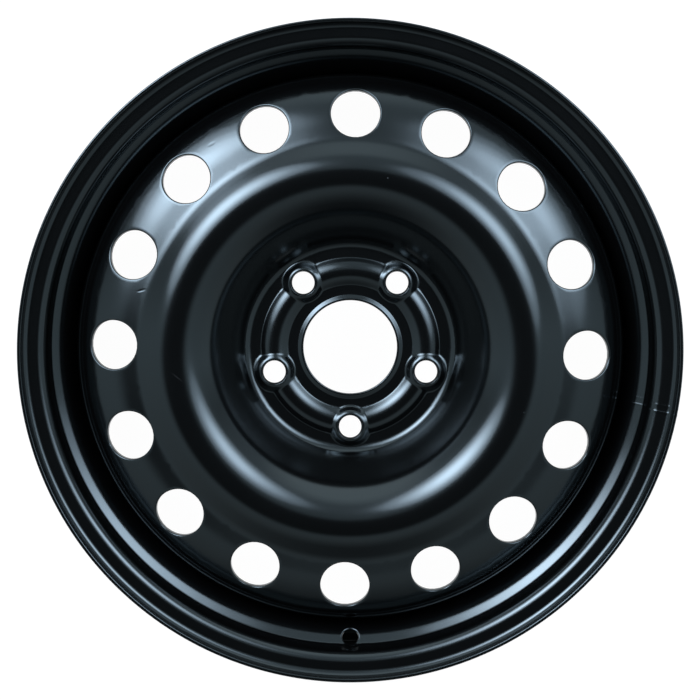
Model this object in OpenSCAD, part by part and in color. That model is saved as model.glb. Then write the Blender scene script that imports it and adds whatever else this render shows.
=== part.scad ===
// Steel car wheel, 17 x 7 J, five nuts on a 114.3 mm circle.
// Millimetres. The axle line is Z, and the front of the wheel looks along +Z.
// The origin is the middle of the rim's width, so the hub face lies at z = hub_offset.

/* [Rim] */
// Diameter of the bead seats, where they meet the flanges
bead_d = 436.6; // [400:0.1:480]
// Width between the tyre faces of the two flanges
rim_width = 177.8; // [150:0.1:210]
// Height of a flange above its bead seat
flange_height = 17.3; // [15:0.1:20]
// Reach of a flange's lip beyond its tyre face
flange_reach = 12; // [10.5:0.1:14]
// Radius inside the curl of a flange
curl_radius = 5.4; // [4:0.1:8]
// Thickness of the rim's sheet
rim_sheet = 2.6; // [2.2:0.1:3.2]
// Width of a bead seat
seat_width = 20.5; // [19:0.1:23]
// Slope of a bead seat
seat_slope = 5; // [3:0.5:8]
// Height of the hump at the inner end of a bead seat
hump_height = 1; // [0.6:0.1:1.6]
// Depth of the well below the bead seats
well_depth = 20; // [17:0.1:22]
// Width of the well's floor
well_width = 48; // [42:0.5:56]
// Lean of the well's outer wall, from square to the axle
well_lean = 28; // [22:0.5:32]

/* [Valve hole] */
// Diameter of the valve hole
valve_d = 11.5; // [8:0.1:16]
// Height of the valve hole's middle above the well's floor
valve_rise = 13.2; // [12:0.1:14]
// Edge break around the valve hole
valve_break = 1.1; // [0.5:0.1:1.5]

/* [Disc] */
// Thickness of the disc's sheet
disc_sheet = 4; // [3.4:0.1:4.8]
// Distance of the hub face from the middle of the rim
hub_offset = 48; // [40:0.5:54]
// Height of the crown above the front of the hub
crown_height = 44; // [38:0.5:48]
// Radius of the dish's foot, where its wall meets the hub
dish_r = 74; // [73:0.1:77]
// Run of the dish's wall outwards, from its foot to the line of the crown's inner slope
dish_run = 25.6; // [23.5:0.1:28]
// Slope of the crown's inner side
dish_wall_slope = 36; // [33:0.5:40]
// Run of the crown's inner slope outwards, up to the line of its top
crown_in_run = 14.8; // [13:0.1:17]
// Width of the crown's top between the lines of its two slopes
crown_width = 19.8; // [18:0.1:22]
// Run of the crown's outer slope outwards, down to the vent ring
crown_out_run = 15.6; // [13.5:0.1:17.5]
// Bend radius of the crown towards the hub
crown_in_bend = 33; // [25:0.5:40]
// Bend radius of the crown towards the vent ring
crown_out_bend = 28; // [20:0.5:34]
// Bend radius at the dish's foot
dish_bend = 8; // [5:0.5:10]
// Slope of the crown's outer side
crown_slope = 31; // [26:0.5:36]
// Width of the vent ring's inner slope, up to the line of its outer slope
ring_width = 23.9; // [21.5:0.1:26]
// Slope of the vent ring at its inner edge
ring_slope_in = 12; // [9:0.5:16]
// Slope of the vent ring at its outer edge
ring_slope_out = 33; // [29:0.5:37]
// Bend radius of the shoulder between vent ring and flange
shoulder_bend = 23; // [15:0.5:25]
// Length of the flange's straight part that seats in the well
flange_length = 20; // [16:0.5:26]

/* [Vents] */
// Number of vent holes
vent_count = 16; // [8:1:18]
// Diameter of a vent hole, square to the sheet
vent_d = 35; // [25:0.5:40]
// Diameter of the circle of vent holes
vent_pcd = 337.4; // [334:0.1:341]
// Turn of the vent holes from the line of the valve hole
vent_turn = -1.3; // [-11:0.1:11]
// Edge break at the front of a vent hole
vent_break = 1; // [0.6:0.1:1.5]

/* [Hub] */
// Diameter of the centre bore
bore_d = 67.1; // [56:0.1:72]
// Height of the collar around the bore
collar_height = 1.7; // [1.2:0.1:2.4]
// Width of the collar's rim
collar_width = 2.4; // [2:0.1:3.2]
// Edge break at the back of the bore
bore_break = 1.2; // [0.5:0.1:2]
// Diameter of the circle of nut holes
bolt_pcd = 114.3; // [112:0.1:116]
// Number of nut holes
bolt_count = 5; // [4:1:5]
// Diameter of a nut hole
bolt_d = 16; // [14:0.1:17]
// Depth of the 60 degree nut seat
seat_depth = 1.75; // [1:0.05:2.5]
// Diameter of a nut boss at its foot
boss_d = 29.6; // [28.6:0.1:31]
// Height of a nut boss
boss_height = 4.2; // [3.8:0.1:5]
// Middle radius of the ridge that links the bosses
ridge_r = 54.4; // [53:0.1:56]
// Width of the ridge at its foot
ridge_width = 19.6; // [17:0.1:21]
// Slope of the ridge's sides
ridge_slope = 30; // [22:0.5:33]

/* [Welds] */
// Number of weld beads
weld_count = 8; // [4:1:12]
// Length of a weld bead
weld_length = 52; // [30:1:80]
// Leg of the weld's triangle
weld_leg = 4.2; // [3:0.1:4.4]

/* [Hidden] */
// Steepest turn between two short flats of a bend
bend_step = 10;
// Extra length that carries a cut clear of a surface
clear = 1;
// Length of each side of a hump along the axle
hump_run = 4;
// Depth of the ledge behind the well below the bead seat, and its run along the axle
ledge_drop = 3;
ledge_run = 42;
// Length of the valve hole's cut, past the bends of the well's wall on both sides
valve_reach = 20;
// Bend radii that stay as drawn
edge_bend = 0.8;
heel_bend = 8;
hump_bend = 5;
well_top_bend = 2.5;
well_bend = 25;
barrel_bend = 20;
dish_wall_bend = 53;
ring_bend = 20;
ring_crown_bend = 72;
ridge_bend = 15;
boss_bend = 4;
foot_bend = 2;
collar_bend = 4;
// Slopes that stay as drawn
boss_slope = 45;
collar_slope = 25;
seat_cone = 30;
// Direction of the valve hole, at the foot of the wheel's front
valve_angle = -90;

half_width = rim_width / 2;
flange_r = bead_d / 2 + flange_height;
lip_under_r = flange_r - rim_sheet;
flange_face_z = half_width + rim_sheet;
lip_z = half_width + flange_reach;
well_r = bead_d / 2 - well_depth - rim_sheet;
seat_end_z = half_width - seat_width;
seat_heel_r = seat_air_r(flange_face_z);
seat_toe_r = seat_air_r(seat_end_z);
hump_r = seat_toe_r + hump_height;
hump_z = seat_end_z - hump_run;
wall_top_z = hump_z - hump_run;
well_front_z = wall_top_z - (hump_r - well_r) * tan(well_lean);
well_back_z = well_front_z - well_width;
ledge_r = seat_toe_r - ledge_drop;
ledge_z = well_back_z - ledge_run;

hub_z = hub_offset + disc_sheet;
crown_z = hub_z + crown_height;
dish_wall_r = dish_r + dish_run;
crown_in_r = dish_wall_r + crown_in_run;
crown_out_r = crown_in_r + crown_width;
ring_r = crown_out_r + crown_out_run;
ring_out_r = ring_r + ring_width;
dish_wall_z = crown_z - (crown_in_r - dish_wall_r) * tan(dish_wall_slope);
ring_z = crown_z - (ring_r - crown_out_r) * tan(crown_slope);
vent_r = vent_pcd / 2;
ring_turn = ring_slope_out - ring_slope_in;
ring_out_z = ring_z - (ring_out_r - ring_r) * tan(ring_slope_in);
ring_bend_r = ring_out_r - ring_crown_bend * tan(ring_turn / 2) * cos(ring_slope_in);
ring_bend_z = ring_z - (ring_bend_r - ring_r) * tan(ring_slope_in);
vent_tilt = asin(sin(ring_slope_in) + (vent_r - ring_bend_r) / ring_crown_bend);
vent_front_z = ring_bend_z - ring_crown_bend * (cos(ring_slope_in) - cos(vent_tilt));
vent_mid_z = vent_front_z - disc_sheet / 2 / cos(vent_tilt);
shoulder_z = ring_out_z - (well_r - ring_out_r) * tan(ring_slope_out);
flange_end_z = well_front_z - well_bend * tan(45 - well_lean / 2) - flange_length;
ridge_peak_z = hub_z + ridge_width / 2 * tan(ridge_slope);
boss_top_z = hub_z + boss_height;
boss_r = boss_d / 2;
boss_rim_r = boss_r - boss_height / tan(boss_slope);
bore_r = bore_d / 2;
bolt_r = bolt_d / 2;
form_start_r = bore_r / 2;
weld_turn = weld_length / well_r * 180 / PI;
valve_place_r = well_r + valve_rise;
valve_z = wall_top_z - (hump_r - valve_place_r) * tan(well_lean) - rim_sheet / 2 / cos(well_lean);

// Radius of the air side of a bead seat at a distance from the rim's middle
function seat_air_r(z) = bead_d / 2 - (half_width - z) * tan(seat_slope) - rim_sheet / cos(seat_slope);

// Place of a path's corner without its bend radius
function place(corner) = [corner[0], corner[1]];

// Unit vector from one place to another
function toward(p, q) = (q - p) / norm(q - p);

// A vector turned by an angle
function turned(v, angle) = [v[0] * cos(angle) - v[1] * sin(angle), v[0] * sin(angle) + v[1] * cos(angle)];

// Signed angle through which a path turns from direction u to direction v
function bend_angle(u, v) = atan2(u[0] * v[1] - u[1] * v[0], u * v);

// Angle through which a path turns at its corner i
function corner_angle(c, i) =
    bend_angle(toward(place(c[i - 1]), place(c[i])), toward(place(c[i]), place(c[i + 1])));

// Length that the bend at corner i takes from each leg, nothing at the two ends
function bend_leg(c, i) =
    i == 0 || i == len(c) - 1 ? 0 : c[i][2] * tan(abs(corner_angle(c, i)) / 2);

// Share of the bends at both ends of leg i that fits the leg
function leg_share(c, i) =
    let (need = bend_leg(c, i) + bend_leg(c, i + 1), have = norm(place(c[i + 1]) - place(c[i])))
    need > have ? have / need : 1;

// Places along the bend at corner i, cut into short flats
function bend_places(c, i) =
    let (
        share = min(leg_share(c, i - 1), leg_share(c, i)),
        radius = c[i][2] * share,
        angle = corner_angle(c, i),
        way = toward(place(c[i - 1]), place(c[i])),
        start = place(c[i]) - way * bend_leg(c, i) * share,
        centre = start + turned(way, 90 * sign(angle)) * radius,
        flats = max(2, ceil(abs(angle) / bend_step))
    )
    [for (k = [0:flats]) centre + turned(start - centre, angle * k / flats)];

// A path of corners [r, z, bend radius] with its bends made round
function rounded(c) =
    let (
        last = len(c) - 1,
        all = [
            place(c[0]),
            for (i = [1:last - 1]) each bend_places(c, i),
            place(c[last])
        ]
    )
    [for (i = [0:len(all) - 1]) if (i == 0 || norm(all[i] - all[i - 1]) > 0.01) all[i]];

// A path moved to its left by a distance, which keeps a sheet's thickness even
function beside(path, distance) =
    let (last = len(path) - 1)
    [
        for (i = [0:last])
            let (
                before = turned(toward(path[max(i, 1) - 1], path[max(i, 1)]), 90),
                after = turned(toward(path[min(i, last - 1)], path[min(i, last - 1) + 1]), 90),
                middle = (before + after) / norm(before + after)
            )
            path[i] + middle * distance / (middle * before)
    ];

// A list in its reverse order
function reversed(list) = [for (i = [len(list) - 1:-1:0]) list[i]];

// Rounded edge of a sheet, from one face at p over to the other, where the sheet ends along way
function sheet_edge(p, way, across, sheet) =
    [
        for (side = [0, 1], k = [0:3])
            p + across * (side == 0 ? edge_bend : sheet - edge_bend) - way * edge_bend
                + (side == 0 ? way * sin(30 * k) - across * cos(30 * k) : way * cos(30 * k) + across * sin(30 * k))
                * edge_bend
    ];

// Closed outline of a bent sheet that lies to the left of its path, with both edges rounded
function sheet_outline(path, sheet) =
    let (
        last = len(path) - 1,
        far = beside(path, sheet),
        end_way = toward(path[last - 1], path[last]),
        start_way = toward(path[1], path[0])
    )
    concat(
        [for (i = [1:last - 1]) path[i]],
        sheet_edge(path[last], end_way, turned(end_way, 90), sheet),
        reversed([for (i = [1:last - 1]) far[i]]),
        sheet_edge(far[0], start_way, turned(start_way, 90), sheet)
    );

// Air side of the rim, from the front lip through the well to the back lip
function rim_path() = rounded([
    [lip_under_r, lip_z],
    [lip_under_r, flange_face_z, curl_radius],
    [seat_heel_r, flange_face_z, heel_bend],
    [seat_toe_r, seat_end_z, hump_bend],
    [hump_r, hump_z, hump_bend],
    [hump_r, wall_top_z, well_top_bend],
    [well_r, well_front_z, well_bend],
    [well_r, well_back_z, barrel_bend],
    [ledge_r, ledge_z, barrel_bend],
    [seat_toe_r, -hump_z, hump_bend],
    [hump_r, (-hump_z - seat_end_z) / 2, hump_bend],
    [seat_toe_r, -seat_end_z, hump_bend],
    [seat_heel_r, -flange_face_z, heel_bend],
    [lip_under_r, -flange_face_z, curl_radius],
    [lip_under_r, -lip_z]
]);

// Front of the disc's sheet, from inside the bore out to the end of the flange
function disc_path() = rounded([
    [form_start_r, hub_z],
    [ridge_r - ridge_width / 2, hub_z, foot_bend],
    [ridge_r, ridge_peak_z, ridge_bend],
    [ridge_r + ridge_width / 2, hub_z, foot_bend],
    [dish_r, hub_z, dish_bend],
    [dish_wall_r, dish_wall_z, dish_wall_bend],
    [crown_in_r, crown_z, crown_in_bend],
    [crown_out_r, crown_z, crown_out_bend],
    [ring_r, ring_z, ring_bend],
    [ring_out_r, ring_out_z, ring_crown_bend],
    [well_r, shoulder_z, shoulder_bend],
    [well_r, flange_end_z]
]);

// Front of a nut boss, from its middle out to its foot
function boss_path() = rounded([
    [bolt_r / 2, boss_top_z],
    [boss_rim_r, boss_top_z, boss_bend],
    [boss_r, hub_z, foot_bend],
    [boss_r + foot_bend * tan(boss_slope / 2), hub_z]
]);

// Copies of a shape at the nut holes, the first in line with the valve hole
module at_bolts() {
    for (i = [0:bolt_count - 1])
        rotate([0, 0, valve_angle + i * 360 / bolt_count])
            translate([bolt_pcd / 2, 0, 0])
                children();
}

// Copies of a shape at the vent holes, square to the sheet
module at_vents() {
    for (i = [0:vent_count - 1])
        rotate([0, 0, valve_angle + vent_turn + i * 360 / vent_count])
            translate([vent_r, 0, vent_mid_z])
                rotate([0, vent_tilt, 0])
                    children();
}

// Everything under a path down to a floor, turned about Z
module turned_form(path, floor_z) {
    last = len(path) - 1;
    rotate_extrude($fn = 180)
        polygon(concat(path, [[path[last][0], floor_z], [path[0][0], floor_z]]));
}

// What fills the front of the pressing, as in its lower die
module front_form() {
    turned_form(disc_path(), flange_end_z);
    at_bolts() turned_form(boss_path(), hub_z - disc_sheet / 2);
}

// What fills the back of the pressing, as its punch does
module back_form() {
    turned_form(beside(disc_path(), -disc_sheet), flange_end_z - clear);
    at_bolts() turned_form(beside(boss_path(), -disc_sheet), hub_offset - clear);
}

// Raised rim of the bore, cut through with the bore itself
module collar() {
    collar_r = bore_r + collar_width;
    top_z = hub_z + collar_height;
    path = rounded([
        [form_start_r, top_z],
        [collar_r, top_z, collar_bend],
        [collar_r + collar_height / tan(collar_slope), hub_z]
    ]);
    turned_form(path, hub_z - disc_sheet / 2);
}

// Centre bore with the edge break that leads the hub in
module bore_cut() {
    translate([0, 0, hub_offset - clear])
        cylinder(r = bore_r, h = disc_sheet + collar_height + 2 * clear, $fn = 120);
    translate([0, 0, hub_offset - clear])
        cylinder(r1 = bore_r + bore_break + clear, r2 = bore_r, h = bore_break + clear, $fn = 120);
}

// Nut hole with its conical seat at the front
module nut_cut() {
    translate([0, 0, hub_offset - clear])
        cylinder(r = bolt_r, h = disc_sheet + boss_height + 2 * clear, $fn = 60);
    translate([0, 0, boss_top_z - seat_depth])
        cylinder(r1 = bolt_r, r2 = bolt_r + (seat_depth + clear) * tan(seat_cone), h = seat_depth + clear, $fn = 60);
}

// Vent hole with the edge break at its front
module vent_cut() {
    cylinder(d = vent_d, h = 4 * disc_sheet, center = true, $fn = 90);
    translate([0, 0, disc_sheet / 2 - vent_break])
        cylinder(d1 = vent_d, d2 = vent_d + 2 * (vent_break + clear), h = vent_break + clear, $fn = 90);
}

// Valve hole through the well's outer wall, with its edge break on the air side
module valve_cut() {
    rotate([0, 0, valve_angle])
        translate([valve_place_r, 0, valve_z])
            rotate([0, -well_lean, 0]) {
                cylinder(d = valve_d, h = valve_reach, center = true, $fn = 60);
                translate([0, 0, rim_sheet / 2 - valve_break])
                    cylinder(d1 = valve_d, d2 = valve_d + 2 * (valve_break + clear), h = valve_break + clear, $fn = 60);
            }
}

// Rolled ring that carries the tyre
module rim() {
    color("#1b1b1c")
        difference() {
            rotate_extrude($fn = 180)
                polygon(sheet_outline(rim_path(), rim_sheet));
            valve_cut();
        }
}

// Pressed centre: hub, dish, crown, vent ring and flange in one sheet
module disc() {
    color("#1e1e1f")
        difference() {
            union() {
                difference() {
                    front_form();
                    back_form();
                }
                collar();
            }
            bore_cut();
            at_bolts() nut_cut();
            at_vents() vent_cut();
        }
}

// Fillet welds behind the disc, between its flange and the rim's well
module weld_beads() {
    bulge = [for (k = [0:4]) [well_r, flange_end_z] + turned([-weld_leg, 0], 22.5 * k) * (1 - 0.12 * sin(45 * k))];
    color("#202021")
        for (i = [0:weld_count - 1])
            rotate([0, 0, valve_angle + (i + 0.5) * 360 / weld_count - weld_turn / 2])
                rotate_extrude(angle = weld_turn, $fn = 180)
                    polygon(concat([[well_r, flange_end_z]], bulge));
}

rim();
disc();
weld_beads();
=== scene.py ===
"""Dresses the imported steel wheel: fine sheet-metal meshes, a black dip coat, a studio and the camera.

Sizes of the wheel are millimetres and degrees, as on a workshop drawing. Meshes and the studio are in metres.
The axle line is Z, the front of the wheel looks along +Z, and the valve hole lies towards -Y.
"""

import logging
import math
from dataclasses import dataclass, field
from enum import Enum
from typing import Sequence

import bmesh
import bpy
import numpy as np
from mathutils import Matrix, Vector


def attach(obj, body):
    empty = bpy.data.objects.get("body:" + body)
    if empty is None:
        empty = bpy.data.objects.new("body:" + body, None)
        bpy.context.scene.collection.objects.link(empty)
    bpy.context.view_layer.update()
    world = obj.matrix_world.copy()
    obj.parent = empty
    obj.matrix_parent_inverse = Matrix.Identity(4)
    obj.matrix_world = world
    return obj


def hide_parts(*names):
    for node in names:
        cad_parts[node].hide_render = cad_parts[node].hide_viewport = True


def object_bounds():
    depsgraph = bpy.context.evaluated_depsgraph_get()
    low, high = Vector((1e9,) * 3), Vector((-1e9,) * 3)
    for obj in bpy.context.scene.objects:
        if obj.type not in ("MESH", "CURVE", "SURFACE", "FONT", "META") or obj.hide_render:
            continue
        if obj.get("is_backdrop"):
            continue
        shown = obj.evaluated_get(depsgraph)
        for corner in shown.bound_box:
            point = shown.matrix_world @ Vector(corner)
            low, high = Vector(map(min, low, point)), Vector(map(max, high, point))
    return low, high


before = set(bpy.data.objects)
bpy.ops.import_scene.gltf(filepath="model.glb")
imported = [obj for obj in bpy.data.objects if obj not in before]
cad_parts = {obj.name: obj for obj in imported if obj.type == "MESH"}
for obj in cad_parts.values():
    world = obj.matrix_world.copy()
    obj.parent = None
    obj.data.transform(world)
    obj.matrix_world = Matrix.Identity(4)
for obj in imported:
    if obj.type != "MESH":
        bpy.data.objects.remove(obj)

LOG = logging.getLogger("steel_wheel")
MM = 0.001
BODY = "root"
IMAGE_PX = 700
SENSOR_MM = 36.0
CLIP_END_M = 100.0
VALVE_ANGLE = -90.0
MERGE_DIGITS = 4
PATH_STEPS = 6000
BOSS_STEPS = 1500
SHORTEST_LEG = 1e-3
NEARLY = 1e-6
ROUNDING = 1e-9
OPENING_ROUNDS = 8
RING_CROWDING = 1.25

Points = np.ndarray
Span = tuple[float, float]
Colour = tuple[float, float, float]


def rise(slope: float) -> float:
    """Gives the rise per millimetre of run of a slope in degrees."""
    return math.tan(math.radians(slope))


def turned(r: Points, z: Points, phi: Points) -> Points:
    """Gives points in the wheel's frame for radii, heights and angles in radians."""
    return np.stack(np.broadcast_arrays(r * np.cos(phi), r * np.sin(phi), z), axis=-1)


def rgba(colour: Colour) -> tuple[float, float, float, float]:
    """Gives a linear colour with full cover."""
    return (*colour, 1.0)


@dataclass(frozen=True)
class Corner:
    """A corner of a sheet's section: radius and height of the sharp corner, and the bend that rounds it."""

    r: float
    z: float
    bend: float = 0.0


@dataclass(frozen=True)
class Leg:
    """A straight or evenly curved stretch of a section.

    Attributes:
        start: Length along the section at which the stretch begins.
        length: Length of the stretch.
        point: Radius and height of its first point.
        heading: Direction there, in radians from the radius towards the height.
        curve: Turn per millimetre, 0 where the stretch is straight.
    """

    start: float
    length: float
    point: tuple[float, float]
    heading: float
    curve: float

    def at(self, s: Points) -> tuple[Points, Points]:
        """Gives the radius and height at lengths along the section."""
        d = s - self.start
        r0, z0 = self.point
        if self.curve == 0.0:
            return r0 + d * math.cos(self.heading), z0 + d * math.sin(self.heading)
        turn = self.heading + self.curve * d
        r = r0 + (np.sin(turn) - math.sin(self.heading)) / self.curve
        z = z0 + (math.cos(self.heading) - np.cos(turn)) / self.curve
        return r, z


class SectionPath:
    """A sheet's section, as straight legs joined by true arcs."""

    def __init__(self, *corners: Corner) -> None:
        """Lays the legs and arcs through the corners.

        Args:
            corners: The section's corners in order. The first and last are its ends.
        """
        self.legs: list[Leg] = []
        pts = [np.array((c.r, c.z)) for c in corners]
        here, s = pts[0], 0.0
        for i in range(1, len(pts)):
            way = pts[i] - pts[i - 1]
            heading = math.atan2(way[1], way[0])
            turn, trim, bend = 0.0, 0.0, corners[i].bend
            if i < len(pts) - 1:
                onward = pts[i + 1] - pts[i]
                cross = way[0] * onward[1] - way[1] * onward[0]
                turn = math.atan2(cross, float(way @ onward))
                trim = bend * math.tan(abs(turn) / 2)
            unit = way / np.linalg.norm(way)
            stop = pts[i] - unit * trim
            run = float((stop - here) @ unit)
            if run > SHORTEST_LEG:
                self.legs.append(Leg(s, run, tuple(here), heading, 0.0))
                s += run
            here = stop
            if trim > 0.0:
                arc = bend * abs(turn)
                self.legs.append(Leg(s, arc, tuple(here), heading, math.copysign(1 / bend, turn)))
                s += arc
                r, z = self.legs[-1].at(np.array([s]))
                here = np.array((r[0], z[0]))
        self.length = s

    def at(self, s: Points) -> tuple[Points, Points]:
        """Gives radius and height along the section.

        Args:
            s: Lengths along the section, of any shape.

        Returns:
            Radii and heights of the same shape.
        """
        s = np.asarray(s, float)
        starts = np.array([leg.start for leg in self.legs])
        which = np.clip(np.searchsorted(starts, s, side="right") - 1, 0, len(self.legs) - 1)
        r, z = np.empty_like(s), np.empty_like(s)
        for i, leg in enumerate(self.legs):
            mask = which == i
            if mask.any():
                r[mask], z[mask] = leg.at(s[mask])
        return r, z

    def where_radius(self, radius: float) -> float:
        """Gives the first length along the section at which a growing radius is reached."""
        s = np.linspace(0.0, self.length, PATH_STEPS)
        r, _ = self.at(s)
        i = int(np.argmax(r >= radius))
        return float(np.interp(radius, r[i - 1 : i + 1], s[i - 1 : i + 1]))

    def rows(self, s0: float, s1: float, turn_step: float, leg_step: float) -> list[float]:
        """Divides a stretch of the section into rows of faces.

        Args:
            s0: Length at which the stretch begins.
            s1: Length at which it ends.
            turn_step: Largest turn between two rows, in degrees.
            leg_step: Largest distance between two rows.

        Returns:
            Lengths of the rows, both ends included.
        """
        out = [s0]
        for leg in self.legs:
            lo, hi = max(s0, leg.start), min(s1, leg.start + leg.length)
            if hi - lo < NEARLY:
                continue
            turn = math.degrees(abs(leg.curve) * (hi - lo))
            count = max(1, math.ceil(turn / turn_step), math.ceil((hi - lo) / leg_step))
            out.extend(lo + (hi - lo) * (k + 1) / count for k in range(count))
        return out


class Side(Enum):
    """The two faces of a sheet."""

    NEAR = "near"
    FAR = "far"


class TurnedSheet:
    """A sheet of even thickness, turned about the axle line.

    A place on it is a length along the section and an angle. The near face is the drawn section. The far
    face lies one thickness along the normal, or against it where the thickness is negative.
    """

    STEP_ALONG = 0.02
    STEP_ROUND = 2e-4

    def __init__(self, path: SectionPath, thickness: float) -> None:
        """Keeps the section and the signed thickness."""
        self.path = path
        self.thickness = thickness

    def drawn(self, s: Points, phi: Points) -> Points:
        """Gives points of the drawn face, in millimetres, for lengths and angles in radians."""
        r, z = self.path.at(s)
        r, z = self.shaped(r, z, phi)
        return turned(r, z, phi)

    def shaped(self, r: Points, z: Points, phi: Points) -> tuple[Points, Points]:
        """Gives the radius and height once local forms are pressed in. The plain sheet has none."""
        return r, z

    def normal(self, s: Points, phi: Points) -> Points:
        """Gives unit normals of the drawn face, by small steps along it."""
        ds, da = self.STEP_ALONG, self.STEP_ROUND
        along = self.drawn(np.clip(s + ds, 0, self.path.length), phi)
        along = along - self.drawn(np.clip(s - ds, 0, self.path.length), phi)
        around = self.drawn(s, phi + da) - self.drawn(s, phi - da)
        n = np.cross(along, around)
        return n / np.linalg.norm(n, axis=-1, keepdims=True)

    def proud(self, s: Points, phi: Points) -> Points:
        """Gives how far both faces stand out from the plain sheet, such as along a weld."""
        return np.zeros(np.broadcast(s, phi).shape)

    def face(self, s: Points, phi: Points, side: Side) -> Points:
        """Gives points of one face of the sheet.

        Args:
            s: Lengths along the section.
            phi: Angles in radians.
            side: The near or the far face.

        Returns:
            Points in millimetres, with a last axis of three.
        """
        s, phi = np.broadcast_arrays(np.asarray(s, float), np.asarray(phi, float))
        n = self.normal(s, phi)
        out = math.copysign(1.0, self.thickness)
        lift = self.proud(s, phi) * out
        move = self.thickness + lift if side is Side.FAR else -lift
        return self.drawn(s, phi) + n * np.asarray(move)[..., None]

    def end_rings(self, s: float, phi: Points, way: float, radius: float, flats: int) -> Points:
        """Gives the rings of the sheet's rounded end, from one face round to the other.

        Args:
            s: Length along the section of the end.
            phi: Angles in radians.
            way: Way out of the sheet, 1 along the axle line and -1 against it.
            radius: Radius that rounds both corners of the end.
            flats: Number of flats in each quarter turn.

        Returns:
            Rings of points, from the near face to the far face.
        """
        near, far = (self.face(np.full(len(phi), s), phi, side) for side in Side)
        across = far - near
        across = radius * across / np.linalg.norm(across, axis=-1, keepdims=True)
        out = np.array((0.0, 0.0, way * radius))
        quarter = [math.pi / 2 * k / flats for k in range(flats + 1)]
        rings = [near + across * (1 - math.cos(a)) - out * (1 - math.sin(a)) for a in quarter]
        rings += [far - across * (1 - math.sin(a)) - out * (1 - math.cos(a)) for a in quarter]
        return np.stack(rings)


@dataclass(frozen=True)
class EdgeLoop:
    """A ring on the wall of a hole: how much wider than the hole, and how deep below the face it enters."""

    wider: float
    depth: float


@dataclass(frozen=True)
class Mouth:
    """One end of a hole.

    Attributes:
        wider: How much wider than the wall it opens on the face.
        rings: Rings from below the face to the wall.
    """

    wider: float
    rings: tuple[EdgeLoop, ...]


def rounded_mouth(radius: float, flats: int) -> Mouth:
    """Gives the rounded end of a hole.

    Args:
        radius: Radius of the rounding.
        flats: Number of flats in the quarter turn.

    Returns:
        The end of the hole.
    """
    quarter = [math.pi / 2 * (k + 1) / flats for k in range(flats)]
    rings = [EdgeLoop(radius * (1 - math.sin(a)), radius * (1 - math.cos(a))) for a in quarter]
    return Mouth(radius, tuple(rings))


@dataclass(frozen=True)
class Hole:
    """A round hole punched through a sheet.

    Attributes:
        s: Length along the section of its middle.
        phi: Angle of its middle, in radians.
        radius: Radius of its wall.
        near: Its end on the near face.
        far: Its end on the far face.
        upright: Whether the hole runs along the axle line and not square to the sheet.
    """

    s: float
    phi: float
    radius: float
    near: Mouth
    far: Mouth
    upright: bool = False


@dataclass(frozen=True)
class Patch:
    """A patch of a sheet's grid that gives way to rings round one hole.

    Attributes:
        hole: The hole.
        rows: Its rows of points.
        first: Its first column of points.
        columns: Number of its columns of points.
        rings: Number of faces between its border and the hole.
    """

    hole: Hole
    rows: slice
    first: int
    columns: int
    rings: int


class MeshMaker:
    """Collects loops and grids of points and turns them into one closed mesh."""

    def __init__(self) -> None:
        """Starts with nothing."""
        self.points: list[Points] = []
        self.quads: list[Points] = []
        self.count = 0

    def add(self, grid: Points, round_again: bool, keep: Points | None = None) -> None:
        """Adds a grid of points and the faces between its rows.

        Args:
            grid: Points of shape rows, columns, three.
            round_again: Whether the last column joins the first.
            keep: Which cells become faces, all where it is left out.
        """
        rows, cols = grid.shape[:2]
        index = self.count + np.arange(rows * cols).reshape(rows, cols)
        right = np.roll(index, -1, axis=1) if round_again else index[:, 1:]
        left = index if round_again else index[:, :-1]
        quads = np.stack((left[:-1], right[:-1], right[1:], left[1:]), axis=-1)
        if keep is not None:
            quads = quads[keep]
        self.points.append(grid.reshape(-1, 3))
        self.quads.append(quads.reshape(-1, 4))
        self.count += rows * cols

    def fan(self, ring: Points) -> None:
        """Closes a small ring of points with faces to its middle."""
        middle = np.broadcast_to(ring.mean(axis=0), ring.shape)
        self.add(np.stack((ring, middle)), True)

    def build(self, name: str) -> bpy.types.Object:
        """Makes the object.

        Args:
            name: Name of the piece.

        Returns:
            A smooth-shaded mesh object, in metres, linked to the scene.
        """
        points = np.concatenate(self.points)
        quads = np.concatenate(self.quads)
        key = np.round(points, MERGE_DIGITS) + 0.0
        _, first, back = np.unique(key, axis=0, return_index=True, return_inverse=True)
        quads = back.reshape(-1)[quads]
        used, quads = np.unique(quads, return_inverse=True)
        quads = quads.reshape(-1, 4)
        mesh = bpy.data.meshes.new(name)
        faces = [[v for k, v in enumerate(q) if v != q[k - 1]] for q in quads.tolist()]
        faces = [f for f in faces if len(f) > 2]
        mesh.from_pydata((points[first[used]] * MM).tolist(), [], faces)
        solid = bmesh.new()
        solid.from_mesh(mesh)
        bmesh.ops.recalc_face_normals(solid, faces=solid.faces)
        solid.to_mesh(mesh)
        solid.free()
        mesh.shade_smooth()
        obj = bpy.data.objects.new(name, mesh)
        bpy.context.scene.collection.objects.link(obj)
        return obj


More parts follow.
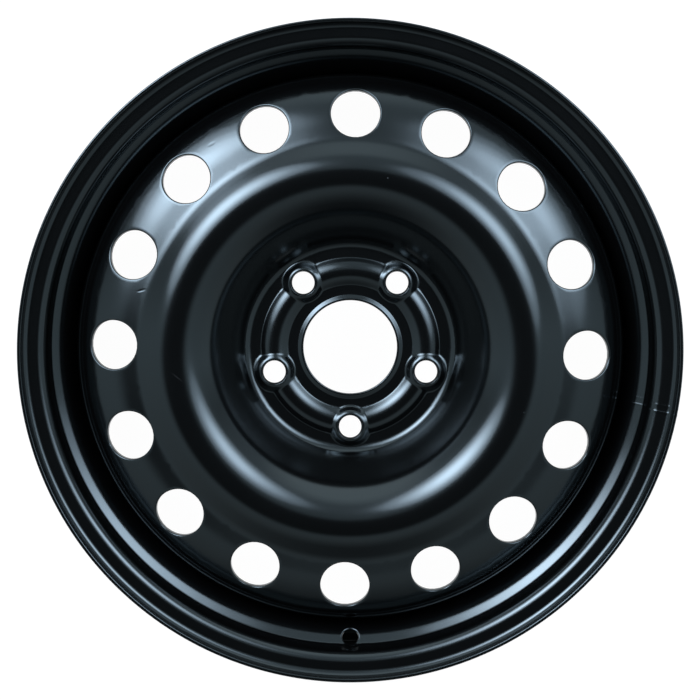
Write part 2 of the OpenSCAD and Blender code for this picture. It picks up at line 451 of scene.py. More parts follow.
def punched_patch(sheet: TurnedSheet, rows: Points, cols: Points, hole: Hole, rings: int) -> Points:
    """Gives the rings of a patch of sheet with one round hole in it.

    The first ring follows the patch's border on the near face, the next ones close in on the hole, then
    run through it, and the last one follows the border on the far face.

    Args:
        sheet: The sheet that the patch belongs to.
        rows: Lengths along the section of the border's points.
        cols: Angles of the border's points, in radians.
        hole: The hole.
        rings: Number of faces between the border and the hole.

    Returns:
        Points of shape rings, points of a ring, three.
    """
    s_ends = [np.full(len(cols) - 1, s) for s in (rows[0], rows[-1])]
    a_ends = [np.full(len(rows) - 1, a) for a in (cols[-1], cols[0])]
    s_edge = np.concatenate((s_ends[0], rows[:-1], s_ends[1], rows[:0:-1]))
    a_edge = np.concatenate((cols[:-1], a_ends[0], cols[:0:-1], a_ends[1]))
    r_mid = float(sheet.path.at(np.array([hole.s]))[0][0])
    u, v = s_edge - hole.s, (a_edge - hole.phi) * r_mid
    reach = np.hypot(u, v)
    u, v = u / reach, v / reach
    middle = sheet.face(np.array(hole.s), np.array(hole.phi), Side.NEAR)
    axis = np.array((0.0, 0.0, 1.0)) if hole.upright else sheet.normal(np.array(hole.s), np.array(hole.phi))
    inward = axis * math.copysign(1.0, sheet.thickness)

    def spot(d: Points, side: Side) -> Points:
        """Gives the face's points at distances from the hole's middle, one for each direction."""
        return sheet.face(hole.s + u * d, hole.phi + v * d / r_mid, side)

    def off_axis(p: Points) -> Points:
        """Gives the part of each point's offset that is square to the hole's axis."""
        offset = p - middle
        return offset - (offset @ axis)[:, None] * axis

    def opening(side: Side, radius: float) -> Points:
        """Gives the distance in each direction at which the face meets the hole's opening."""
        d = np.full(len(u), radius)
        for _ in range(OPENING_ROUNDS):
            d = d * radius / np.linalg.norm(off_axis(spot(d, side)), axis=1)
        return d

    def side_rings(side: Side, mouth: Mouth) -> list[Points]:
        """Gives the rings of one face from the border to the hole's wall."""
        inner = opening(side, hole.radius + mouth.wider)
        share = np.linspace(1.0, 0.0, rings + 1) ** RING_CROWDING
        out = [spot(inner + (reach - inner) * k, side) for k in share]
        rim_pts = out[-1]
        radial = off_axis(rim_pts)
        radial = radial / np.linalg.norm(radial, axis=1, keepdims=True)
        height = (rim_pts - middle) @ axis
        down = inward if side is Side.NEAR else -inward
        for loop in mouth.rings:
            flat = middle + radial * (hole.radius + loop.wider) + height[:, None] * axis
            out.append(flat + down * loop.depth)
        return out

    return np.stack(side_rings(Side.NEAR, hole.near) + side_rings(Side.FAR, hole.far)[::-1])


def press_shell(
    maker: MeshMaker,
    sheet: TurnedSheet,
    s: Points,
    phi: Points,
    patches: Sequence[Patch],
) -> None:
    """Adds both faces of a turned sheet, with its holes.

    Args:
        maker: Collects the mesh.
        sheet: The sheet.
        s: Lengths along the section of the rows.
        phi: Angles of the columns once round, in radians, for each row.
        patches: The patches with the holes.
    """
    count = phi.shape[1]
    keep = np.ones((len(s) - 1, count), bool)
    for patch in patches:
        which = patch.first + np.arange(patch.columns)
        cols = phi[patch.rows.start, which % count] + 2 * math.pi * (which // count)
        keep[patch.rows.start : patch.rows.stop - 1, which[:-1] % count] = False
        maker.add(punched_patch(sheet, s[patch.rows], cols, patch.hole, patch.rings), True)
    for side in Side:
        maker.add(sheet.face(s[:, None], phi, side), True, keep)


@dataclass(frozen=True)
class Nib:
    """A grain of dust caught under the coat, as a low dome on a sheet's near face.

    Attributes:
        turn: Direction from the axle line, in degrees from +X towards +Y.
        radius: Distance from the axle line.
        reach: Radius of the dome.
        height: Height of the dome.
        sink: Depth of its border in the coat.
        shares: Places of its rings, as shares of its radius.
        corner_turn: Turn between two points of a ring, in degrees.
    """

    turn: float
    radius: float
    reach: float = 0.6
    height: float = 0.3
    sink: float = 0.02
    shares: tuple[float, ...] = (1.0, 0.85, 0.6, 0.3)
    corner_turn: float = 30.0

    def add_to(self, maker: MeshMaker, sheet: TurnedSheet, s: float) -> None:
        """Adds the dome to a sheet's mesh, as a closed solid that sits a little in the coat.

        Args:
            maker: Collects the mesh.
            sheet: The sheet.
            s: Length along the section of the dome's middle.
        """
        around = np.radians(np.arange(0.0, 360.0, self.corner_turn))
        phi = math.radians(self.turn)
        rings = []
        for share in self.shares:
            at_s = s + share * self.reach * np.cos(around)
            at_phi = phi + share * self.reach * np.sin(around) / self.radius
            out = -math.copysign(1.0, sheet.thickness) * sheet.normal(at_s, at_phi)
            lift = self.height * (1 - share**2) - self.sink
            rings.append(sheet.face(at_s, at_phi, Side.NEAR) + out * lift)
        maker.add(np.stack(rings), True)
        maker.fan(rings[0])
        maker.fan(rings[-1])


@dataclass(frozen=True)
class WheelSizes:
    """Sizes that the rim, the disc and the welds share."""

    bead_d: float = 436.6
    rim_width: float = 177.8
    flange_height: float = 17.3
    flange_reach: float = 12.0
    rim_sheet: float = 2.6
    seat_width: float = 20.5
    seat_slope: float = 5.0
    hump_height: float = 1.0
    well_depth: float = 20.0
    well_width: float = 48.0
    hump_run: float = 4.0
    well_lean: float = 28.0
    well_bend: float = 25.0
    flange_length: float = 20.0

    @property
    def half_width(self) -> float:
        """Distance of a flange's tyre face from the middle of the rim."""
        return self.rim_width / 2

    @property
    def well_r(self) -> float:
        """Radius of the air side of the well's floor."""
        return self.bead_d / 2 - self.well_depth - self.rim_sheet

    @property
    def seat_end_z(self) -> float:
        """Height at which the front bead seat ends."""
        return self.half_width - self.seat_width

    @property
    def hump_r(self) -> float:
        """Radius of the air side of a hump."""
        return self.seat_air_r(self.seat_end_z) + self.hump_height

    @property
    def hump_z(self) -> float:
        """Height of the front hump."""
        return self.seat_end_z - self.hump_run

    @property
    def wall_top_z(self) -> float:
        """Height at which the well's outer wall begins behind the front hump."""
        return self.hump_z - self.hump_run

    @property
    def well_front_z(self) -> float:
        """Height at which the lines of the well's outer wall and floor meet."""
        return self.wall_top_z - (self.hump_r - self.well_r) * rise(self.well_lean)

    @property
    def disc_end_z(self) -> float:
        """Height at which the disc's flange ends in the well."""
        trim = self.well_bend * rise((90.0 - self.well_lean) / 2)
        return self.well_front_z - trim - self.flange_length

    def seat_air_r(self, z: float) -> float:
        """Gives the radius of the air side of a bead seat at a height."""
        slope = math.radians(self.seat_slope)
        return self.bead_d / 2 - (self.half_width - z) * math.tan(slope) - self.rim_sheet / math.cos(slope)


class RimSheet(TurnedSheet):
    """The rim's sheet, with the trimmed butt weld that closes the ring."""

    def __init__(self, path: SectionPath, thickness: float, weld: "ButtWeld") -> None:
        """Keeps the section, the thickness and the weld."""
        super().__init__(path, thickness)
        self.weld = weld

    def proud(self, s: Points, phi: Points) -> Points:
        """Gives the height of the weld's two trimmed edges."""
        s, phi = np.broadcast_arrays(s, phi)
        r, _ = self.path.at(s)
        turn = (phi - math.radians(self.weld.angle) + math.pi) % (2 * math.pi) - math.pi
        half = self.weld.width / 2
        edges = zip((-half, half), self.weld.heights)
        return sum(h * np.exp(-(((turn * r - x) / self.weld.soft) ** 2)) for x, h in edges)


@dataclass(frozen=True)
class ButtWeld:
    """The weld across the rim's strip, with the two low edges that its trimming leaves.

    Attributes:
        angle: Direction from the axle line, in degrees from +X towards +Y.
        width: Distance between the two edges.
        heights: Heights of the edges.
        soft: Distance at which an edge has faded to about a third of its height.
        column_offsets: Places of the mesh's columns, on both sides of the middle.
    """

    angle: float = -10.5
    width: float = 4.8
    heights: Span = (0.13, 0.07)
    soft: float = 0.6
    column_offsets: tuple[float, ...] = (-4.5, -3.6, -3.0, -2.7, -2.4, -2.1, -1.8, -1.2, 0.0)


@dataclass
class Rim:
    """The rolled ring that carries the tyre."""

    sizes: WheelSizes
    coat: "BlackCoat"
    weld: ButtWeld = field(default_factory=ButtWeld)
    wall_nibs: tuple[Nib, ...] = (Nib(134.5, 198.3), Nib(37.1, 209.5))
    curl_radius: float = 5.4
    heel_bend: float = 8.0
    hump_bend: float = 5.0
    well_top_bend: float = 2.5
    barrel_bend: float = 20.0
    ledge_drop: float = 3.0
    ledge_run: float = 42.0
    edge_bend: float = 0.8
    edge_flats: int = 4
    valve_d: float = 11.5
    valve_rise: float = 13.2
    valve_break: float = 1.1
    valve_flats: int = 4
    valve_back_flats: int = 2
    valve_margin: float = 3.4
    valve_rows: int = 20
    valve_rings: int = 6
    valve_half_turn: float = 4.0
    valve_column: float = 0.5
    column_turn: float = 1.5
    row_turn: float = 6.0
    row_length: float = 7.0
    hump_from: float = 40.0

    def section(self) -> SectionPath:
        """Lays out the air side of the rim, from the front lip through the well to the back lip."""
        w = self.sizes
        under_r = w.bead_d / 2 + w.flange_height - w.rim_sheet
        face_z, lip_z = w.half_width + w.rim_sheet, w.half_width + w.flange_reach
        heel_r, toe_r = w.seat_air_r(face_z), w.seat_air_r(w.seat_end_z)
        well_back_z = w.well_front_z - w.well_width
        return SectionPath(
            Corner(under_r, lip_z),
            Corner(under_r, face_z, self.curl_radius),
            Corner(heel_r, face_z, self.heel_bend),
            Corner(toe_r, w.seat_end_z, self.hump_bend),
            Corner(w.hump_r, w.hump_z, self.hump_bend),
            Corner(w.hump_r, w.wall_top_z, self.well_top_bend),
            Corner(w.well_r, w.well_front_z, w.well_bend),
            Corner(w.well_r, well_back_z, self.barrel_bend),
            Corner(toe_r - self.ledge_drop, well_back_z - self.ledge_run, self.barrel_bend),
            Corner(toe_r, -w.hump_z, self.hump_bend),
            Corner(w.hump_r, -(w.hump_z + w.seat_end_z) / 2, self.hump_bend),
            Corner(toe_r, -w.seat_end_z, self.hump_bend),
            Corner(heel_r, -face_z, self.heel_bend),
            Corner(under_r, -face_z, self.curl_radius),
            Corner(under_r, -lip_z),
        )

    def angles(self) -> Points:
        """Gives the columns' angles in radians: even all round, closer at the valve hole and the weld."""
        half, turn = self.valve_half_turn, self.column_turn
        even = np.arange(VALVE_ANGLE, VALVE_ANGLE + 360.0, turn)
        valve = VALVE_ANGLE + np.arange(-half, half + NEARLY, self.valve_column)
        steps = np.array(self.weld.column_offsets)
        steps = np.unique(np.concatenate((steps, -steps)))
        weld = self.weld.angle + np.degrees(steps / (self.sizes.bead_d / 2))
        gone = np.abs((even - VALVE_ANGLE + 180) % 360 - 180) < half + turn / 3
        gone |= (even > weld[0] - turn / 4) & (even < weld[-1] + turn / 4)
        start = VALVE_ANGLE - half
        angles = np.concatenate((even[~gone], valve, weld)) - start
        return np.radians(np.sort((angles + ROUNDING) % 360.0) + start)

    def wall_place(self, path: SectionPath, radius: float) -> float:
        """Gives the length along the section where the wall behind the front hump reaches a radius."""
        s = np.linspace(0, path.length / 2, PATH_STEPS)
        r, _ = path.at(s)
        off_hump = np.where(s < self.hump_from, np.inf, np.abs(r - self.sizes.hump_r))
        return float(s[(s > s[int(np.argmin(off_hump))]) & (r < radius)][0])

    def build(self) -> bpy.types.Object:
        """Makes the rim's mesh.

        Returns:
            The rim, placed in the wheel's frame.
        """
        w, path = self.sizes, self.section()
        sheet = RimSheet(path, w.rim_sheet, self.weld)
        angles = self.angles()
        valve_s = self.wall_place(path, w.well_r + self.valve_rise)
        half = self.valve_d / 2 + self.valve_margin
        steps = (self.row_turn, self.row_length)
        rows = path.rows(self.edge_bend, valve_s - half, *steps)
        first = len(rows) - 1
        rows += [valve_s + half * (2 * k / self.valve_rows - 1) for k in range(1, self.valve_rows + 1)]
        patch_rows = slice(first, len(rows))
        rows += path.rows(rows[-1], path.length - self.edge_bend, *steps)[1:]
        front = rounded_mouth(self.valve_break, self.valve_flats)
        back = rounded_mouth(self.valve_break / 3, self.valve_back_flats)
        hole = Hole(valve_s, math.radians(VALVE_ANGLE), self.valve_d / 2, front, back)
        columns = 2 * round(self.valve_half_turn / self.valve_column) + 1
        patch = Patch(hole, patch_rows, 0, columns, self.valve_rings)
        maker = MeshMaker()
        press_shell(maker, sheet, np.array(rows), np.tile(angles, (len(rows), 1)), [patch])
        for end, way in ((0.0, 1.0), (path.length, -1.0)):
            maker.add(sheet.end_rings(end, angles, way, self.edge_bend, self.edge_flats), True)
        for nib in self.wall_nibs:
            nib.add_to(maker, sheet, self.wall_place(path, nib.radius))
        obj = maker.build("rolled_rim")
        self.coat.dress(obj)
        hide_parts("rim")
        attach(obj, BODY)
        return obj


class DiscSheet(TurnedSheet):
    """The disc's sheet, with the nut bosses pressed into its hub."""

    def __init__(self, path: SectionPath, thickness: float, disc: "Disc") -> None:
        """Keeps the section, the thickness and the disc whose bosses it has."""
        super().__init__(path, thickness)
        self.disc = disc
        boss = disc.boss_section()
        self.boss_r, self.boss_h = boss.at(np.linspace(0.0, boss.length, BOSS_STEPS))

    def shaped(self, r: Points, z: Points, phi: Points) -> tuple[Points, Points]:
        """Blends the nut bosses into the turned hub."""
        d = self.disc
        pitch = 2 * math.pi / d.bolt_count
        turn = (phi - math.radians(VALVE_ANGLE) + pitch / 2) % pitch - pitch / 2
        bolt_r = d.bolt_pcd / 2
        away = np.sqrt(np.maximum(r * r + bolt_r**2 - 2 * r * bolt_r * np.cos(turn), 0.0))
        boss = np.interp(away, self.boss_r, self.boss_h)
        base = np.maximum(z - d.hub_z, 0.0)
        soft = np.clip(np.minimum(base, boss), NEARLY, d.boss_fillet)
        over = np.maximum(soft - np.abs(base - boss), 0.0)
        joined = np.maximum(base, boss) + over**2 / (4 * soft)
        in_hub = (away < self.boss_r[-1]) & (z >= d.hub_z - NEARLY)
        return r, np.where(in_hub, d.hub_z + joined, z)


@dataclass
class Disc:
    """The pressed centre: hub, dish, crown, vent ring and flange in one sheet."""

    sizes: WheelSizes
    coat: "BlackCoat"
    sheet: float = 4.0
    hub_offset: float = 48.0
    crown_height: float = 44.0
    dish_r: float = 74.0
    dish_wall_r: float = 99.6
    dish_wall_slope: float = 36.0
    dish_wall_bend: float = 52.0
    crown_in_r: float = 114.4
    crown_out_r: float = 134.2
    crown_in_bend: float = 33.0
    crown_out_bend: float = 28.0
    dish_bend: float = 8.0
    crown_slope: float = 31.0
    ring_r: float = 149.8
    ring_out_r: float = 173.7
    ring_bend: float = 20.0
    ring_crown_bend: float = 72.0
    ring_slope_in: float = 12.0
    ring_slope_out: float = 33.0
    shoulder_bend: float = 23.0
    vent_count: int = 16
    vent_d: float = 35.0
    vent_pcd: float = 337.4
    vent_turn: float = -1.3
    vent_edge: float = 0.9
    vent_back_edge: float = 0.5
    vent_flats: int = 5
    vent_rings: int = 6
    bore_d: float = 67.1
    bore_break: float = 1.2
    bore_bend: float = 0.7
    bore_back_bend: float = 0.4
    collar_height: float = 1.2
    collar_width: float = 1.5
    collar_bend: float = 2.5
    collar_slope: float = 26.0
    collar_foot_bend: float = 1.5
    bolt_pcd: float = 114.3
    bolt_count: int = 5
    bolt_d: float = 16.0
    seat_depth: float = 1.75
    seat_cone: float = 30.0
    seat_round: float = 0.3
    seat_ease: float = 0.08
    seat_foot: float = 0.1
    nut_back_edge: float = 0.4
    back_flats: int = 3
    nut_rings: int = 12
    boss_d: float = 29.6
    boss_height: float = 4.2
    boss_slope: float = 45.0
    boss_bend: float = 4.4
    ridge_r: float = 54.4
    ridge_width: float = 19.6
    ridge_slope: float = 30.0
    ridge_bend: float = 15.0
    foot_bend: float = 2.0
    boss_fillet: float = 2.6
    column_turn: float = 1.5
    hub_inner_r: float = 41.2
    hub_outer_r: float = 76.0
    boss_half_turn: float = 18.0
    crown_nibs: tuple[Nib, ...] = (Nib(77.8, 125.5), Nib(76.6, 132.2), Nib(-19.4, 131.1))
    ring_margin_in: float = 0.9
    ring_outer_r: float = 187.4
    end_bend: float = 0.5
    end_flats: int = 2
    hub_steps: Span = (7.0, 1.1)
    dish_steps: Span = (3.0, 4.0)
    ring_steps: Span = (3.0, 3.0)
    flange_steps: Span = (4.0, 5.0)
    bore_steps: Span = (12.0, 4.0)

    @property
    def hub_z(self) -> float:
        """Height of the front of the hub."""
        return self.hub_offset + self.sheet

    @property
    def seat_wider(self) -> float:
        """How much wider than its hole a nut's conical seat is."""
        return self.seat_depth * rise(self.seat_cone)

    def section(self) -> SectionPath:
        """Lays out the front of the disc, from inside the bore to the end of its flange."""
        z = self.hub_z
        crown_z = z + self.crown_height
        dish_wall_z = crown_z - (self.crown_in_r - self.dish_wall_r) * rise(self.dish_wall_slope)
        ring_z = crown_z - (self.ring_r - self.crown_out_r) * rise(self.crown_slope)
        ring_out_z = ring_z - (self.ring_out_r - self.ring_r) * rise(self.ring_slope_in)
        well_r = self.sizes.well_r
        shoulder_z = ring_out_z - (well_r - self.ring_out_r) * rise(self.ring_slope_out)
        half = self.ridge_width / 2
        peak = z + half * rise(self.ridge_slope)
        return SectionPath(
            Corner(self.bore_d / 4, z),
            Corner(self.ridge_r - half, z, self.foot_bend),
            Corner(self.ridge_r, peak, self.ridge_bend),
            Corner(self.ridge_r + half, z, self.foot_bend),
            Corner(self.dish_r, z, self.dish_bend),
            Corner(self.dish_wall_r, dish_wall_z, self.dish_wall_bend),
            Corner(self.crown_in_r, crown_z, self.crown_in_bend),
            Corner(self.crown_out_r, crown_z, self.crown_out_bend),
            Corner(self.ring_r, ring_z, self.ring_bend),
            Corner(self.ring_out_r, ring_out_z, self.ring_crown_bend),
            Corner(well_r, shoulder_z, self.shoulder_bend),
            Corner(well_r, self.sizes.disc_end_z),
        )

    def boss_section(self) -> SectionPath:
        """Lays out a nut boss from its middle to its foot, as heights above the hub."""
        foot = self.boss_d / 2
        rim_r = foot - self.boss_height / rise(self.boss_slope)
        return SectionPath(
            Corner(0.0, self.boss_height),
            Corner(rim_r, self.boss_height, self.boss_bend),
            Corner(foot, 0.0, self.foot_bend),
            Corner(foot + self.foot_bend, 0.0),
        )

    def bore_section(self) -> SectionPath:
        """Lays out the collar, the bore and the edge of the hub face, from the front to the back."""
        bore_r, z = self.bore_d / 2, self.hub_z
        top = z + self.collar_height
        collar_r = bore_r + self.collar_width
        foot_r = collar_r + self.collar_height / rise(self.collar_slope)
        back = self.hub_offset
        return SectionPath(
            Corner(self.hub_inner_r, z),
            Corner(foot_r, z, self.collar_foot_bend),
            Corner(collar_r, top, self.collar_bend),
            Corner(bore_r, top, self.bore_bend),
            Corner(bore_r, back + self.bore_break, self.bore_back_bend),
            Corner(bore_r + self.bore_break, back, self.bore_back_bend),
            Corner(self.hub_inner_r, back),
        )

    def seat_mouth(self) -> Mouth:
        """Gives a nut hole's conical seat, eased where it meets the boss and the hole's wall."""
        wide, deep = self.seat_wider, self.seat_depth
        ease, foot = self.seat_ease, self.seat_foot
        rings = (
            EdgeLoop(wide + ease, ease / 2),
            EdgeLoop(wide, ease / 2 + foot),
            EdgeLoop(wide / 2, (deep + foot) / 2),
            EdgeLoop(ease, deep - foot),
            EdgeLoop(0.0, deep + foot),
        )
        return Mouth(wide + self.seat_round, rings)

    def patches(self, path: SectionPath, hub_rows: slice, ring_rows: slice, first_vent: int) -> list[Patch]:
        """Gives the patches of the nut holes and of the vents.

        Args:
            path: The section.
            hub_rows: Rows of the hub.
            ring_rows: Rows of the vent ring.
            first_vent: First column of the lowest vent's patch.

        Returns:
            The patches.
        """
        out = []
        bolt_s, vent_s = path.where_radius(self.bolt_pcd / 2), path.where_radius(self.vent_pcd / 2)
        back = rounded_mouth(self.nut_back_edge, self.back_flats)
        wide = round(2 * self.boss_half_turn / self.column_turn)
        for k in range(self.bolt_count):
            turn = 360.0 * k / self.bolt_count
            phi = math.radians(VALVE_ANGLE + turn)
            hole = Hole(bolt_s, phi, self.bolt_d / 2, self.seat_mouth(), back, upright=True)
            out.append(Patch(hole, hub_rows, round(turn / self.column_turn), wide + 1, self.nut_rings))
        front = rounded_mouth(self.vent_edge, self.vent_flats)
        back = rounded_mouth(self.vent_back_edge, self.back_flats)
        wide = round(360.0 / self.vent_count / self.column_turn)
        for k in range(self.vent_count):
            phi = math.radians(VALVE_ANGLE + self.vent_turn + 360.0 * k / self.vent_count)
            hole = Hole(vent_s, phi, self.vent_d / 2, front, back)
            out.append(Patch(hole, ring_rows, first_vent + k * wide, wide + 1, self.vent_rings))
        return out

    def build(self) -> bpy.types.Object:
        """Makes the disc's mesh, whose columns turn from the nut holes at the hub to the vents at the ring.

        Returns:
            The disc, placed in the wheel's frame.
        """
        path = self.section()
        sheet = DiscSheet(path, -self.sheet, self)
        bounds = (self.hub_inner_r, self.hub_outer_r, self.ring_r + self.ring_margin_in, self.ring_outer_r)
        s_hub, s_dish, s_ring, s_flange = (path.where_radius(r) for r in bounds)
        rows = path.rows(s_hub, s_dish, *self.hub_steps)
        hub_rows = slice(0, len(rows))
        rows += path.rows(s_dish, s_ring, *self.dish_steps)[1:]
        ring_first = len(rows) - 1
        rows += path.rows(s_ring, s_flange, *self.ring_steps)[1:]
        ring_rows = slice(ring_first, len(rows))
        rows += path.rows(s_flange, path.length - self.end_bend, *self.flange_steps)[1:]
        s = np.array(rows)
        turn = self.column_turn
        hub_start = VALVE_ANGLE - self.boss_half_turn
        vent_start = VALVE_ANGLE + self.vent_turn - 180.0 / self.vent_count
        slip = (vent_start - hub_start + turn / 2) % turn - turn / 2
        share = np.clip((s - s_dish) / (s_ring - s_dish), 0.0, 1.0)[:, None]
        phi = np.radians(hub_start + slip * share + turn * np.arange(round(360 / turn)))
        first_vent = round((vent_start - hub_start - slip) / turn)
        maker = MeshMaker()
        press_shell(maker, sheet, s, phi, self.patches(path, hub_rows, ring_rows, first_vent))
        bore = self.bore_section()
        r, z = bore.at(np.array(bore.rows(0.0, bore.length, *self.bore_steps)))
        maker.add(turned(r[:, None], z[:, None], phi[0]), True)
        maker.add(sheet.end_rings(path.length, phi[-1], -1.0, self.end_bend, self.end_flats), True)
        for nib in self.crown_nibs:
            nib.add_to(maker, sheet, path.where_radius(nib.radius))
        obj = maker.build("pressed_disc")
        self.coat.dress(obj)
        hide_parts("disc")
        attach(obj, BODY)
        return obj


@dataclass
class WeldBeads:
    """The short fillet welds behind the disc, with the ripples of the weld pool."""

    sizes: WheelSizes
    coat: "BlackCoat"
    count: int = 8
    length: float = 52.0
    leg: float = 4.2
    hollow: float = 0.1
    ripple_pitch: float = 2.1
    ripple_height: float = 0.16
    ripple_lag: float = 0.65
    taper: float = 3.0
    end_share: float = 0.35
    around: int = 10
    step: float = 0.35

    def bead(self, maker: MeshMaker, middle: float) -> None:
        """Adds one bead.

        Args:
            maker: Collects the mesh.
            middle: Angle of the bead's middle, in degrees.
        """
        well_r, end_z = self.sizes.well_r, self.sizes.disc_end_z
        x = np.linspace(-self.length / 2, self.length / 2, round(self.length / self.step))[:, None]
        a = np.linspace(0.0, math.pi / 2, self.around)
        bulge = np.sin(2 * a)
        near_end = np.clip((self.length / 2 - np.abs(x)) / self.taper, 0.0, 1.0)
        size = self.leg * (self.end_share + (1 - self.end_share) * np.sqrt(near_end * (2 - near_end)))
        wave = np.cos(2 * math.pi * (x / self.ripple_pitch + self.ripple_lag * bulge))
        depth = size * (1 - self.hollow * bulge) - self.ripple_height * bulge * (1 - wave) / 2
        corner = np.ones_like(x)
        r = np.concatenate((well_r * corner, well_r - depth * np.cos(a)), axis=1)
        z = np.concatenate((end_z * corner, end_z - depth * np.sin(a)), axis=1)
        grid = turned(r, z, math.radians(middle) + x / well_r)
        maker.add(grid, True)
        maker.fan(grid[0])
        maker.fan(grid[-1])

    def build(self) -> bpy.types.Object:
        """Makes all the beads as one piece of separate solids.

        Returns:
            The beads, placed in the wheel's frame.
        """
        maker = MeshMaker()
        for i in range(self.count):
            self.bead(maker, VALVE_ANGLE + (i + 0.5) * 360.0 / self.count)
        obj = maker.build("weld_runs")
        self.coat.dress(obj)
        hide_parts("weld_beads")
        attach(obj, BODY)
        return obj


class NodeTree:
    """Small helper that adds nodes to a shader tree, with their inputs set or linked by name."""

    def __init__(self, tree: bpy.types.NodeTree) -> None:
        """Keeps the tree."""
        self.tree = tree

    def put(self, socket: bpy.types.NodeSocket, value: object) -> None:
        """Links an input to a socket, or sets it to a plain value."""
        if isinstance(value, bpy.types.NodeSocket):
            self.tree.links.new(value, socket)
        else:
            socket.default_value = value

    def add(self, kind: str, inputs: dict[str, object] | None = None, **values: object) -> bpy.types.Node:
        """Adds a node.

        Args:
            kind: Blender's name of the node's type.
            inputs: Sockets or plain values of its inputs.
            values: Its properties.

        Returns:
            The node.
        """
        node = self.tree.nodes.new(kind)
        for key, value in values.items():
            setattr(node, key, value)
        for key, value in (inputs or {}).items():
            self.put(node.inputs[key], value)
        return node

    def math(self, operation: str, a: object, b: object = 0.0) -> bpy.types.NodeSocket:
        """Adds a Math node.

        Args:
            operation: Blender's name of the operation.
            a: A socket or a number.
            b: A socket or a number.

        Returns:
            The node's output.
        """
        node = self.add("ShaderNodeMath", operation=operation)
        for socket, value in zip(node.inputs, (a, b)):
            self.put(socket, value)
        return node.outputs[0]

    def squares(self, a: object, b: object) -> bpy.types.NodeSocket:
        """Adds the nodes that give the sum of two squares."""
        return self.math("ADD", self.math("POWER", a, 2.0), self.math("POWER", b, 2.0))

    def coords(self, kind: str) -> bpy.types.NodeSocket:
        """Adds a node that gives texture coordinates of one kind."""
        return self.add("ShaderNodeTexCoord").outputs[kind]

    def axes(self, place: bpy.types.NodeSocket) -> bpy.types.NodeOutputs:
        """Adds a node that parts a place into X, Y and Z."""
        return self.add("ShaderNodeSeparateXYZ", {"Vector": place}).outputs

    def noise(self, scale: object, detail: float) -> bpy.types.NodeSocket:
        """Adds a noise texture over the object, with a scale and a number of finer layers."""
        inputs = {"Vector": self.coords("Object"), "Scale": scale, "Detail": detail}
        return self.add("ShaderNodeTexNoise", inputs).outputs["Fac"]

    def mix(self, share: bpy.types.NodeSocket, a: object, b: object) -> bpy.types.NodeSocket:
        """Adds a node that runs from one colour to another with a share from 0 to 1."""
        inputs = {"Factor": share, "A": a, "B": b}
        return self.add("ShaderNodeMix", inputs, data_type="RGBA").outputs["Result"]

    def fade(
        self,
        value: bpy.types.NodeSocket,
        span: Span,
        ends: Span = (0.0, 1.0),
        soft: bool = True,
    ) -> bpy.types.NodeSocket:
        """Adds a node that runs from one end to the other over a span of its value.

        Args:
            value: The value that is measured.
            span: Where the run starts and where it ends.
            ends: What is given before the span and after it.
            soft: Whether the run starts and ends gently.

        Returns:
            The socket with the result.
        """
        names = ("Value", "From Min", "From Max", "To Min", "To Max")
        inputs = dict(zip(names, (value, *span, *ends)))
        kind = "SMOOTHSTEP" if soft else "LINEAR"
        return self.add("ShaderNodeMapRange", inputs, interpolation_type=kind).outputs["Result"]


class CoatSurface:
    """The node group of a dipped and baked coat: fine orange peel, dust and uneven gloss."""

    NAME = "coat_surface"
    INPUTS = (
        ("Peel Scale", 900.0),
        ("Peel Depth", 0.004),
        ("Wave Scale", 70.0),
        ("Wave Depth", 0.015),
        ("Dust Scale", 2600.0),
        ("Dust Share", 0.35),
        ("Gloss", 0.2),
        ("Gloss Spread", 0.05),
    )
    OUTPUTS = ("Dust", "Roughness", "Height")
    PATCH_SCALE = 22.0
    SPECK_EDGE = (0.66, 0.8)
    DUST_ROUGHNESS = 0.4

    @classmethod
    def group(cls) -> bpy.types.NodeTree:
        """Gives the group, and builds it at the first call.

        Returns:
            A group that puts out the coat's share of dust, its roughness and its height in millimetres.
        """
        old = bpy.data.node_groups.get(cls.NAME)
        if old:
            return old
        tree = bpy.data.node_groups.new(cls.NAME, "ShaderNodeTree")
        for name, value in cls.INPUTS:
            socket = tree.interface.new_socket(name, in_out="INPUT", socket_type="NodeSocketFloat")
            socket.default_value = value
        for name in cls.OUTPUTS:
            tree.interface.new_socket(name, in_out="OUTPUT", socket_type="NodeSocketFloat")
        n = NodeTree(tree)
        given = n.add("NodeGroupInput").outputs
        patches = n.noise(cls.PATCH_SCALE, 4.0)
        specks = n.fade(n.noise(given["Dust Scale"], 1.0), cls.SPECK_EDGE, soft=False)
        dust = n.math("MULTIPLY", n.math("MULTIPLY", specks, patches), given["Dust Share"])
        uneven = n.math("MULTIPLY", n.math("SUBTRACT", patches, 0.5), given["Gloss Spread"])
        rough = n.math("ADD", given["Gloss"], uneven)
        rough = n.math("ADD", rough, n.math("MULTIPLY", dust, cls.DUST_ROUGHNESS))
        fine = n.math("MULTIPLY", n.noise(given["Peel Scale"], 2.0), given["Peel Depth"])
        broad = n.math("MULTIPLY", n.noise(given["Wave Scale"], 1.0), given["Wave Depth"])
        height = n.math("ADD", fine, broad)
        n.add("NodeGroupOutput", dict(zip(cls.OUTPUTS, (dust, rough, height))))
        return tree


